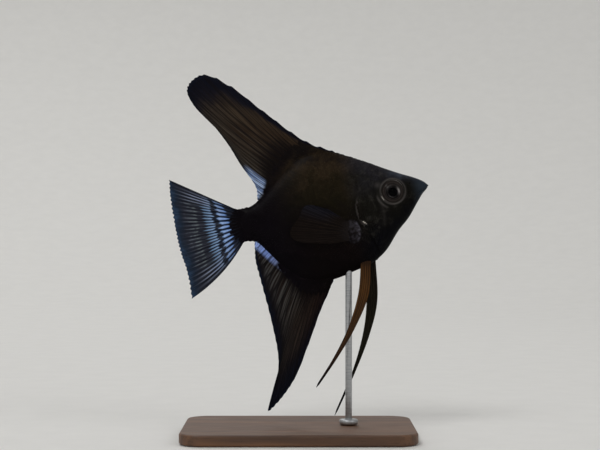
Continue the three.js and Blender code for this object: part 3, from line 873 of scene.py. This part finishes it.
# Rows of small scales climb from the body on to the base of a fin, and end in a ragged line.
def finScalePlaces(plan, side):
    places = []
    isTail = "startBack" in plan
    end = scalePlan["finEnd"]
    across = np.linspace(plan["scaledFrom"], plan["scaledTo"], 400)
    steps = np.linspace(-0.15 if isTail else 0, end, 86)
    u, v = np.meshgrid(across, steps, indexing="ij")
    back, up = finSurface(plan, u, v)[:3:2]
    top, bottom = sectionAt(back)[:2]
    if isTail:
        above = back - tailLine(up)
    else:
        above = np.where(up > 0, up - top, bottom - up)
    ragged = 0.8 + 0.2 * np.sin(across * 61) * np.sin(across * 17 + 1)
    ragged = ragged * (1 - plan["scaleFade"] * smoothStep(0.6, 0.85, across))
    height, size, row = scalePlan["finStart"], scalePlan["finSize"], 0
    while height < plan["scaleReach"]:
        at = np.array([np.interp(height, line, steps, right=1) for line in above])
        gone = distanceAlong(*finSurface(plan, across, at)[:3:2])
        spacing = scalePlan["rowStep"] * size
        spots = (np.arange(gone[-1] / spacing) + 0.5 * (row % 2)) * spacing
        for u in np.interp(spots, gone, across):
            v = float(np.interp(u, across, at))
            if v > end or height > plan["scaleReach"] * np.interp(u, across, ragged):
                continue
            back, out, up, length = finSurface(plan, u, np.array(v))
            further = finSurface(plan, u, np.array(v + 0.02))
            start = float(startShare(plan, length))
            half = float(finThickness(plan, u, (v - start) / (1 - start))) / 2
            half = max(half, float((stalkHalf if isTail else flankAt)(back, up)))
            point = Vector(toWorld(back, out + side * (half + 0.04), up))
            ahead = Vector(toWorld(further[0], further[1] + side * half, further[2])) - point
            unwrap = (plan["unwrapAt"] + 0.3 * u, 0.5 + side * (0.03 + 0.6 * v))
            places.append((point, Vector((0, side, 0)), ahead, size, unwrap))
        height += scalePlan["finStep"] * size
        size -= scalePlan["finShrink"]
        row += 1
    return places


def makeScaleCoat(name, places):
    template, faces = scaleTemplate()
    generator = np.random.default_rng(scalePlan["seed"])
    count, size = len(places), len(template)
    points = np.zeros((count, size, 3))
    patches = np.zeros((count, size, 2))
    # rim: share of the painted highlight along each scale's free edge
    rim = np.clip(np.hypot(template[:, 0], template[:, 1]), 0, 1)
    rim = smoothStep(0.55, 1.0, rim * (0.5 + 0.5 * template[:, 0] / np.maximum(rim, 0.01)))
    isTop = template[:, 2] > template[:, 2].mean()
    tones = generator.random(count)
    for i, (point, normal, ahead, scale, unwrap) in enumerate(places):
        normal = normal.normalized()
        forward = (ahead - normal * ahead.dot(normal)).normalized()
        sideways = normal.cross(forward)
        jitter = 1 + scalePlan["jitter"] * (generator.random() - 0.5)
        x = template[:, 0] * scalePlan["length"] * scale * jitter
        y = template[:, 1] * scalePlan["height"] * scale * jitter
        slope = (template[:, 0] + 1) / 2
        crown = 0.04 * (1 - template[:, 1] ** 2)
        z = -scalePlan["sink"] + (scalePlan["sink"] + scalePlan["lift"]) * slope + crown
        z = z * scale - np.where(isTop, 0, scalePlan["thick"])
        offset = np.outer(x, forward) + np.outer(y, sideways) + np.outer(z, normal)
        points[i] = np.array(point) / mm + offset
        patches[i, :, 0] = unwrap[0] + template[:, 0] * scalePlan["patch"]
        patches[i, :, 1] = unwrap[1] + template[:, 1] * scalePlan["patch"]
    allFaces = [[i * size + corner for corner in face] for i in range(count) for face in faces]
    mesh = bpy.data.meshes.new(name)
    mesh.from_pydata((points.reshape(-1, 3) * mm).tolist(), [], allFaces)
    mesh.set_sharp_from_angle(angle=math.radians(scalePlan["sharp"]))
    addValues(mesh, rim=np.tile(rim, count), tone=np.repeat(tones, size))
    layer = mesh.uv_layers.new(name="OFBake")
    corners = np.empty(len(mesh.loops), np.int32)
    mesh.loops.foreach_get("vertex_index", corners)
    layer.data.foreach_set("uv", patches.reshape(-1, 2)[corners].astype(np.float32).ravel())
    return mesh


eyePlan = {
    "radius": 5.7, "halfDepth": 3.0, "rings": 144, "turns": 96, "pupil": (-0.06, -0.09),
    # strength, share of the radius, its width, bearing and half its length, the last two in degrees
    # the first is a painted glint ahead of the pupil, the other two pale arcs below and above it
    "glows": [(1.0, 0.5, 0.08, 2, 30), (0.42, 0.41, 0.028, 235, 38), (0.2, 0.52, 0.1, 120, 42)],
}


# How pale the eye is at a share of its radius and a bearing, which is 0 towards the snout and grows
# upwards: an outer ring, a painted glint in front of the pupil and thin arcs above and below it.
def eyeLight(radius, bearing):
    turned = np.cos(2 * (bearing - math.radians(24)))
    light = smoothStep(0.84, 0.93, radius) * (0.72 + 0.3 * turned)
    for strength, middle, width, angle, reach in eyePlan["glows"]:
        away = np.angle(np.exp(1j * (bearing - math.radians(angle))))
        light = light + strength * bell(radius - middle, width) * bell(away, math.radians(reach))
    return np.clip(light, 0, 1) ** 1.5


def makeEye(name, side):
    turns, rings, size = eyePlan["turns"], eyePlan["rings"], eyePlan["radius"]
    bm = bmesh.new()
    bmesh.ops.create_uvsphere(bm, u_segments=turns, v_segments=rings, radius=1)
    upright = Matrix.Rotation(math.pi / 2, 3, "X")
    bmesh.ops.rotate(bm, verts=bm.verts[:], cent=(0, 0, 0), matrix=upright)
    mesh = meshFrom(bm, name)
    ball = pointsOf(mesh)
    off = 1 - smoothStep(0.3, 0.9, np.hypot(ball[:, 0], ball[:, 2]))
    ahead, above = (ball[:, axis] - off * shift for axis, shift in zip((0, 2), eyePlan["pupil"]))
    radius, bearing = np.hypot(ahead, above), np.arctan2(above, ahead)
    depth = ball[:, 1] * eyePlan["halfDepth"]
    depth -= np.sign(ball[:, 1]) * 0.1 * bell(radius - 0.6, 0.06)
    depth += np.sign(ball[:, 1]) * 0.08 * bell(radius - 0.46, 0.06)
    local = np.stack([ball[:, 0] * size, depth, ball[:, 2] * size], 1)
    back, up = (np.array(float(c)) for c in headForms["eye"])
    step = 1.0
    slopeBack = (flankAt(back + step, up) - flankAt(back - step, up)) / (2 * step)
    slopeUp = (flankAt(back, up + step) - flankAt(back, up - step)) / (2 * step)
    normal = Vector((float(slopeBack), 1, -float(slopeUp))).normalized()
    turn = Vector((0, 1, 0)).rotation_difference(normal).to_matrix()
    pitch = Matrix.Rotation(-fishPose["pitch"], 3, "Y")
    mirror = Matrix.Diagonal((1, side, 1))
    low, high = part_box("eye_left" if side > 0 else "eye_right")
    centre = (np.array(low) + np.array(high)) / 2
    whole = np.array(pitch @ mirror @ turn)
    points = local @ whole.T * mm + centre
    return shapeMesh(mesh, points, radius=radius, light=eyeLight(radius, bearing))


# Fish eye: a wet, clear cornea over a dark iris with one pale ring and a painted glint ahead of the
# pupil, so a soft glint sits over matt colour.
eyeShades = {
    "dark": [(0.0, "010102"), (0.34, "010102"), (0.4, "131111"), (0.52, "080707"), (0.58, "262220"),
             (0.64, "181515"), (0.72, "2a2523"), (0.84, "201c1a"), (1.0, "1c1814")],
    "pale": [(0.3, "8a8588"), (0.6, "a39d9a"), (0.78, "75706c"), (1.0, "75706c")],
}


def eyeRecipe(add):
    radius, light = (
        add("Attribute", output="Fac", attribute_name=key) for key in ("radius", "light"))
    fibres = add("TexNoise", {
        "Vector": fishCoordinates(add), "Scale": 1.1, "Detail": 4.0, "Roughness": 0.6})
    shift = add("MapRange", (fibres, 0.3, 0.7, -0.02, 0.02))
    place = add("Math", (radius, shift), operation="ADD")
    dark, pale = (add("ValToRGB", (place,), stops=eyeShades[key]) for key in ("dark", "pale"))
    # The light attribute holds the pale ring, the arcs and the painted glint.
    share = add("MapRange", (fibres, 0.3, 0.7, 0.65, 1.0))
    share = add("Math", (share, light), **times)
    return {
        "Base Color": add("Mix", {0: share, 6: dark, 7: pale}, **mixed),
        "Roughness": 0.45,
        "Specular IOR Level": 0.0,
        "Coat Weight": 0.15,
        "Coat Roughness": 0.08,
        "Coat IOR": 1.3,
    }


standPlan = {
    "corner": 9.0, "edge": 1.0, "cornerSteps": 14, "edgeSteps": 4,
    "roundSides": 64, "rodEdge": 0.2, "collarEdge": 0.7, "roundSteps": 3,
}


levelRise = 1e-6  # a level edge rises less than this, in metres


# Rounds the edges whose ends differ in height by at least one amount and by less than another.
def roundEdges(bm, least, most, width, steps):
    edges = [e for e in bm.edges if least <= abs(e.verts[0].co.z - e.verts[1].co.z) < most]
    bmesh.ops.bevel(bm, geom=edges, offset=width * mm, affect="EDGES", segments=steps,
                    profile=0.5, material=-1)


def makeBase():
    low, high = (np.array(c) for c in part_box("stand_base"))
    bm = bmesh.new()
    bmesh.ops.create_cube(bm, size=1)
    bmesh.ops.scale(bm, vec=Vector(high - low), verts=bm.verts[:])
    bmesh.ops.translate(bm, vec=Vector((high + low) / 2), verts=bm.verts[:])
    roundEdges(bm, mm, 1, standPlan["corner"] + standPlan["edge"], standPlan["cornerSteps"])
    roundEdges(bm, 0, levelRise, standPlan["edge"], standPlan["edgeSteps"])
    return meshFrom(bm, "standBase")


def makeRound(name, node, edge):
    low, high = (Vector(c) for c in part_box(node))
    radius = (high.x - low.x) / 2
    bm = bmesh.new()
    bmesh.ops.create_cone(bm, cap_ends=True, segments=standPlan["roundSides"],
                          radius1=radius, radius2=radius, depth=high.z - low.z)
    bmesh.ops.translate(bm, vec=(low + high) / 2, verts=bm.verts[:])
    roundEdges(bm, 0, levelRise, edge, standPlan["roundSteps"])
    return meshFrom(bm, name)


# Walnut, planed and hand-oiled: brown, with darker growth lines and short pores along the grain and
# a soft satin sheen. Growth lines are about 2 mm apart.
def walnutRecipe(add):
    place = add("TexCoord", output="Object")
    grain = add("Mapping", {"Vector": place, "Scale": (14, 160, 160)})
    fine = add("Mapping", {"Vector": place, "Scale": (60, 1600, 1600)})
    cloud = add("TexNoise", {"Vector": grain, "Scale": 1.0, "Detail": 4.0})
    lines = add("TexWave", {
        "Vector": grain, "Scale": 0.55, "Distortion": 7.0, "Detail": 3.0, "Detail Scale": 1.2},
        output="Fac", wave_type="BANDS", bands_direction="Y")
    pores = add("TexNoise", {"Vector": fine, "Scale": 1.0, "Detail": 2.0})
    colour = add("ValToRGB", (cloud,), stops=[(0.3, "4f3320"), (0.7, "6e4a2e")])
    for mark, shade in (((lines, 0.35, 0.95, 0.0, 0.5), "311e12"),
                        ((pores, 0.56, 0.72, 0.0, 0.6), "26160c")):
        share = add("MapRange", mark)
        colour = add("Mix", {0: share, 6: colour, 7: srgb(shade)}, **mixed)
    return {
        "Base Color": colour,
        "Roughness": add("MapRange", (pores, 0.3, 0.7, 0.42, 0.58)),
        "Normal": add("Bump", {"Height": pores, "Strength": 0.3, "Distance": 0.1 * mm}),
    }


# Stainless steel, ground and brushed round its axis: grey, with a soft drawn-out highlight.
def steelRecipe(add):
    place = add("TexCoord", output="Object")
    around = add("Mapping", {"Vector": place, "Scale": (300, 300, 9000)})
    scratches = add("TexNoise", {"Vector": around, "Scale": 1.0, "Detail": 2.0})
    return {
        "Base Color": add("ValToRGB", (scratches,), stops=[(0.3, "8f9194"), (0.7, "b6b8ba")]),
        "Metallic": 1.0,
        "Roughness": add("MapRange", (scratches, 0.3, 0.7, 0.28, 0.42)),
        "Normal": add("Bump", {"Height": scratches, "Strength": 0.15, "Distance": 0.03 * mm}),
    }


# The membrane behind the last long rays of the dorsal fin is nearly clear, with pale blue streaks.
def dorsalPale(add, ray, reach, span, bone, streak):
    last = add("MapRange", (ray, 18.2, 19.1), **eased)
    base = add("MapRange", (ray, 18.5, 22.0, 4.6, 2.0))
    above = add("Math", (span, base), operation="SUBTRACT")
    low = add("MapRange", (above, -1.2, 0.9), **eased)
    high = add("MapRange", (span, 17.0, 11.0), **eased)
    clear = add("Math", (add("Math", (last, low), **times), high), **times)
    lines = add("MapRange", (bone, 0.3, 0.65, 1.0, 0.35))
    share = add("Math", (clear, lines), **times)
    shade = add("ValToRGB", (streak,), stops=[
        (0.36, "2a3a5e"), (0.48, "6f86b0"), (0.6, "a9bcdc")])
    alpha = add("MapRange", (clear, 0.0, 1.0, 1.0, 0.86))
    return share, shade, alpha


# A pale lavender wedge lies along the rear base of the anal fin, and fades into grey streaks.
def analPale(add, ray, reach, span, bone, streak):
    last = add("MapRange", (ray, 13.8, 18.4), **eased)
    wide = add("MapRange", (ray, 15.0, 20.0, 1.3, 2.6))
    inside = add("Math", (wide, span), operation="SUBTRACT")
    low = add("MapRange", (inside, -1.3, 0.6), **eased)
    grain = add("MapRange", (streak, 0.36, 0.6, 0.35, 1.0))
    lines = add("MapRange", (bone, 0.4, 0.8, 1.0, 0.3))
    share = last
    for factor in (low, grain, lines):
        share = add("Math", (share, factor), **times)
    blue = add("MapRange", (ray, 14.5, 20.5))
    shade = add("ValToRGB", (blue,), stops=[
        (0.0, "4b4643"), (0.4, "707ba0"), (0.7, "7f98dc"), (1.0, "9bb4f2")])
    return share, shade, 1.0


# Pale bands across the tail, in shares of 30 mm from its root: white on this ramp is a band.
tailBands = {
    "length": 30.0,
    "edgeLag": 3.4,
    "bands": [
        (0.12, "000000"), (0.17, "e0e0e0"), (0.27, "ffffff"), (0.32, "101010"), (0.355, "101010"),
        (0.39, "f8f8f8"), (0.48, "e8e8e8"), (0.56, "000000"), (0.60, "101010"), (0.64, "cccccc"),
        (0.78, "bcbcbc"), (0.86, "101010")],
    "shades": [
        (0.14, "6f94d6"), (0.26, "7f9fd2"), (0.39, "7f9dc4"), (0.52, "657f9c"), (0.62, "6c7678"),
        (0.8, "565c68")],
    "longLine": "8a93b0",
}


def tailPale(add, ray, reach, span, bone, streak):
    side = add("MapRange", (ray, 0.0, 14.0, -1.0, 1.0))
    edge = add("Math", (side, side), **times)
    lag = add("Math", (edge, tailBands["edgeLag"]), **times)
    wobble = add("MapRange", (streak, 0.3, 0.7, -1.0, 1.0))
    at = add("Math", (span, lag), operation="SUBTRACT")
    at = add("Math", (at, wobble), operation="ADD")
    place = add("Math", (at, tailBands["length"]), operation="DIVIDE")
    band = add("ValToRGB", (place,), stops=tailBands["bands"])
    # Each pale stripe lies between two rays, or in the fork of one further out, and comes to a
    # point where its band ends.
    between = add("Math", (ray, 0.5), operation="PINGPONG")
    forked = add("Math", (ray, 0.25), operation="ADD")
    forked = add("Math", (forked, 0.25), operation="PINGPONG")
    forked = add("Math", (forked, 2.0), **times)
    outer = add("MapRange", (place, 0.33, 0.35))
    middle = add("Mix", {0: outer, 2: between, 3: forked})
    fill = add("Math", (band, 0.4, middle), operation="MULTIPLY_ADD")
    share = add("MapRange", (fill, 0.46, 0.72), **eased)
    dim = add("MapRange", (edge, 0.05, 0.7, 1.0, 0.66))
    share = add("Math", (share, dim), **times)
    # The last band breaks up into mottles.
    mottle = add("TexNoise", {"Vector": fishCoordinates(add), "Scale": 0.34, "Detail": 3.0})
    mottle = add("MapRange", (mottle, 0.43, 0.55, 0.2, 1.0))
    last = add("MapRange", (place, 0.53, 0.6))
    mottle = add("Mix", {0: last, 2: 1.0, 3: mottle})
    share = add("Math", (share, mottle), **times)
    # Long pale lines follow the outermost rays.
    near, start, stop, line = (add("MapRange", values, **eased) for values in (
        (edge, 0.35, 0.6), (place, 0.35, 0.4), (place, 1.0, 0.6), (middle, 0.24, 0.44, 0.0, 0.9)))
    long = near
    for factor in (start, stop, line):
        long = add("Math", (long, factor), **times)
    share = add("Math", (share, long), operation="MAXIMUM")
    lined = add("Math", (long, stop), **times)
    # The fin's two edges stay black.
    inner = add("MapRange", (edge, 0.9, 0.8), **eased)
    share = add("Math", (share, inner), **times)
    shade = add("ValToRGB", (place,), stops=tailBands["shades"])
    heart = add("MapRange", (fill, 0.7, 0.88, 0.0, 0.55), **eased)
    first = add("MapRange", (place, 0.45, 0.3))
    heart = add("Math", (heart, first), **times)
    shade = add("Mix", {0: heart, 6: shade, 7: srgb("bccaec")}, **mixed)
    shade = add("Mix", {0: lined, 6: shade, 7: srgb(tailBands["longLine"])}, **mixed)
    return share, shade, 1.0


# The upper rays of the pectoral fin are veiled in blue-grey.
def pectoralPale(add, ray, reach, span, bone, streak):
    upper = add("MapRange", (ray, 5.5, 2.5), **eased)
    outer = add("MapRange", (reach, 0.25, 0.7, 0.0, 0.7), **eased)
    share = add("Math", (upper, outer), **times)
    shade = add("Mix", {0: bone, 6: srgb("101118"), 7: srgb("22242e")}, **mixed)
    return share, shade, 1.0


dorsalFinish = {
    "rootToTip": [
        (0.0, "0e0a08"), (0.2, "130d0b"), (0.38, "251b14"), (0.62, "29211b"), (0.8, "201a18"),
        (0.92, "13121a"), (1.0, "0c0d17")],
    "streakRise": 0.36,
    "streak": [(0, "30241a"), (6, "3f3122"), (11, "43382c"), (15, "454039"), (23, "454542")],
    "streakShare": 0.85, "streaksPerRay": 6.0, "bone": "0e0b0d", "boneShare": 0.85,
    "front": "140c0f", "frontRays": 6.0, "frontDark": (4, 15, 0.22),
    "margin": "0b0f1c", "marginWidth": 2.2,
    "pale": dorsalPale,
}
analFinish = {
    "rootToTip": [
        (0.0, "090505"), (0.16, "0c0606"), (0.34, "19120f"), (0.5, "1a1515"), (0.72, "120f12"),
        (0.9, "0b0d17"), (1.0, "090b15")],
    "streakRise": 0.26,
    "streak": [(0, "1c1110"), (5, "2a1d17"), (9, "38312b"), (14, "413f3c"), (21, "4a4a4c")],
    "streakShare": 0.85, "streaksPerRay": 6.0, "streakEnd": 0.8,
    "bone": "0a0809", "boneShare": 0.85,
    "front": "130909", "frontRays": 7.0, "frontDark": (1, 9, 0.14),
    "margin": "0c1424", "marginWidth": 2.0,
    "pale": analPale,
}
tailFinish = {
    "rootToTip": [
        (0.0, "030205"), (0.12, "070810"), (0.26, "131a29"), (0.4, "18202f"), (0.55, "1d1f28"),
        (0.84, "23252f"), (0.93, "212b3a"), (1.0, "2d3f57")],
    "streakRise": 0.3, "streak": "41444f", "streakShare": 0.75, "streaksPerRay": 3.0,
    "bone": "0a0b12", "boneShare": 0.7,
    "pale": tailPale,
}
brownPelvicFinish = {
    "rootToTip": [
        (0.0, "2c1c10"), (0.25, "3f2914"), (0.5, "2f221a"), (0.75, "211b1c"), (1.0, "15161c")],
    "streakRise": 0.06, "streak": "5a3b1c", "streakShare": 0.75, "streaksPerRay": 2.0,
    "bone": "1c130d", "boneShare": 0.7,
}
darkPelvicFinish = {
    "rootToTip": [(0.0, "120e0b"), (0.4, "1b1811"), (0.8, "14120f"), (1.0, "0e0f16")],
    "streakRise": 0.06, "streak": "2b271b", "streakShare": 0.7, "streaksPerRay": 2.0,
    "bone": "0c0b0c", "boneShare": 0.7,
}
pectoralFinish = {
    "rootToTip": [(0.0, "1c191a"), (0.2, "0f0b09"), (0.8, "0d0807"), (1.0, "0f0a08")],
    "streakRise": 0.2, "streak": "17110d", "streakShare": 0.6, "streaksPerRay": 2.4,
    "bone": "1e1713", "boneShare": 0.7,
    "pale": pectoralPale,
}

print("skin")
addPiece(makeSkin(), newMaterial("wetFishSkin", skinRecipe), "skin",
         "head", "lower_jaw", "gill_cover_right", "gill_cover_left", "trunk", "tail_stalk")

print("fins")
for name, plan, finish in (("dorsal", dorsalPlan, dorsalFinish), ("anal", analPlan, analFinish),
                           ("tail", tailPlan, tailFinish)):
    addPiece(makeFin(name + "Fin", plan), newMaterial(name + "Membrane", finRecipe, finish), "fin",
             name + "_fin")
pectoralSkin = newMaterial("pectoralMembrane", finRecipe, pectoralFinish)
for name, side in sides:
    addPiece(makeFin("pectoralFin" + name, pectoralPlan, side), pectoralSkin, "fin",
             "pectoral_fin_" + name.lower())
for (name, side), colour, finish in zip(
        sides, ("brown", "dark"), (brownPelvicFinish, darkPelvicFinish)):
    material = newMaterial(colour + "PelvicMembrane", finRecipe, finish)
    addPiece(makePelvicFin("pelvicFin" + name, pelvicPlan[name.lower()], side), material, "fin",
             "pelvic_fin_" + name.lower())

print("scales")
scaleSkin = newMaterial("wetFishScale", scaleRecipe)
for name, side in sides:
    places = scalePlaces(side)
    print("scales on the", name, len(places))
    addPiece(makeScaleCoat("scaleCoat" + name, places), scaleSkin, "skin")
finScales = [place for plan in (dorsalPlan, analPlan, tailPlan) for name, side in sides
             for place in finScalePlaces(plan, side)]
print("scales on the fins", len(finScales))
addPiece(makeScaleCoat("scaleCoatFins", finScales), scaleSkin, "skin")

print("eyes")
eyeFinish = newMaterial("wetFishEye", eyeRecipe)
for name, side in sides:
    addPiece(makeEye("eye" + name, side), eyeFinish, "eye", "eye_" + name.lower())

print("stand")
walnut = newMaterial("oiledWalnut", walnutRecipe)
steel = newMaterial("brushedStainless", steelRecipe)
addPiece(makeBase(), walnut, "stand_wood", "stand_base", smooth=False)
for name, node, edge in (("standRod", "stand_rod", "rodEdge"),
                         ("standCollar", "stand_collar", "collarEdge")):
    addPiece(makeRound(name, node, standPlan[edge]), steel, "stand_metal", node)

cameraPlan = {"centreX": 0.61, "centreUp": 95.0, "distance": 700.0, "lens": 93.33}
cameraData = bpy.data.cameras.new("camera")
cameraData.lens = cameraPlan["lens"]
cameraData.sensor_width = 36
camera = addObject("camera", cameraData)
place = (cameraPlan["centreX"], -cameraPlan["distance"], cameraPlan["centreUp"])
camera.location = Vector(place) * mm
camera.rotation_euler = (math.pi / 2, 0, 0)
bpy.context.scene.camera = camera

bowlPlan = {
    "flat": 0.9, "rise": 1.7, "height": 1.75, "curveSteps": 12, "steps": 96, "drop": 0.0002,
}


# A round floor that sweeps up into a wall, so that every side has the same plain background.
def makeBowl():
    bm = bmesh.new()
    flat, rise, low = bowlPlan["flat"], bowlPlan["rise"], -bowlPlan["drop"]
    line = [bm.verts.new((0, 0, low)), bm.verts.new((flat, 0, low))]
    for i in range(1, bowlPlan["curveSteps"] + 1):
        angle = i / bowlPlan["curveSteps"] * math.pi / 2
        line.append(bm.verts.new((
            flat + rise * math.sin(angle), 0, low + rise * (1 - math.cos(angle)))))
    line.append(bm.verts.new((flat + rise, 0, bowlPlan["height"])))
    edges = [bm.edges.new(pair) for pair in zip(line, line[1:])]
    bmesh.ops.spin(bm, geom=line + edges, cent=(0, 0, 0), axis=(0, 0, 1), angle=fullTurn,
                   steps=bowlPlan["steps"], use_merge=True)
    bmesh.ops.remove_doubles(bm, verts=bm.verts[:], dist=1e-5)
    bmesh.ops.recalc_face_normals(bm, faces=bm.faces[:])
    bmesh.ops.reverse_faces(bm, faces=bm.faces[:])
    return meshFrom(bm, "studioBowl")


# Matt emulsion rolled on board: a flat off-white with a faint roller mottle.
def paintRecipe(add):
    place = add("TexCoord", output="Object")
    mottle = add("TexNoise", {"Vector": place, "Scale": 60.0, "Detail": 3.0})
    colour = add("ValToRGB", (mottle,), stops=[(0.3, "dcdbd8"), (0.7, "dfdedb")])
    return {"Base Color": colour, "Roughness": 0.9}


bowlMesh = makeBowl()
bowlMesh.materials.append(newMaterial("mattStudioPaint", paintRecipe))
for polygon in bowlMesh.polygons:
    polygon.use_smooth = True
bowl = addObject("studioBowl", bowlMesh)

# Name, place in metres, diameter and power in watts.
lampPlan = [
    ("keyLamp", (-0.9, -1.5, 1.9), 0.8, 17.0),
    ("fillLamp", (1.5, -1.3, 1.3), 1.0, 6.0),
    ("backLamp", (-0.5, 1.3, 1.7), 0.8, 10.0),
]


def addLamp(name, place, size, power):
    data = bpy.data.lights.new(name, "AREA")
    data.shape, data.size, data.energy = "DISK", size, power
    lamp = addObject(name, data)
    lamp.location = place
    aim = Vector((0, 0, 0.1)) - Vector(place)
    lamp.rotation_euler = aim.to_track_quat("-Z", "Y").to_euler()


for lamp in lampPlan:
    addLamp(*lamp)

worldPlan = {"colour": (1, 1, 1, 1), "strength": 0.42}
world = bpy.data.worlds.new("softStudio")
world.use_nodes = True
background = world.node_tree.nodes["Background"].inputs
background["Color"].default_value = worldPlan["colour"]
background["Strength"].default_value = worldPlan["strength"]
bpy.context.scene.world = world
bpy.context.scene.view_settings.view_transform = "Standard"
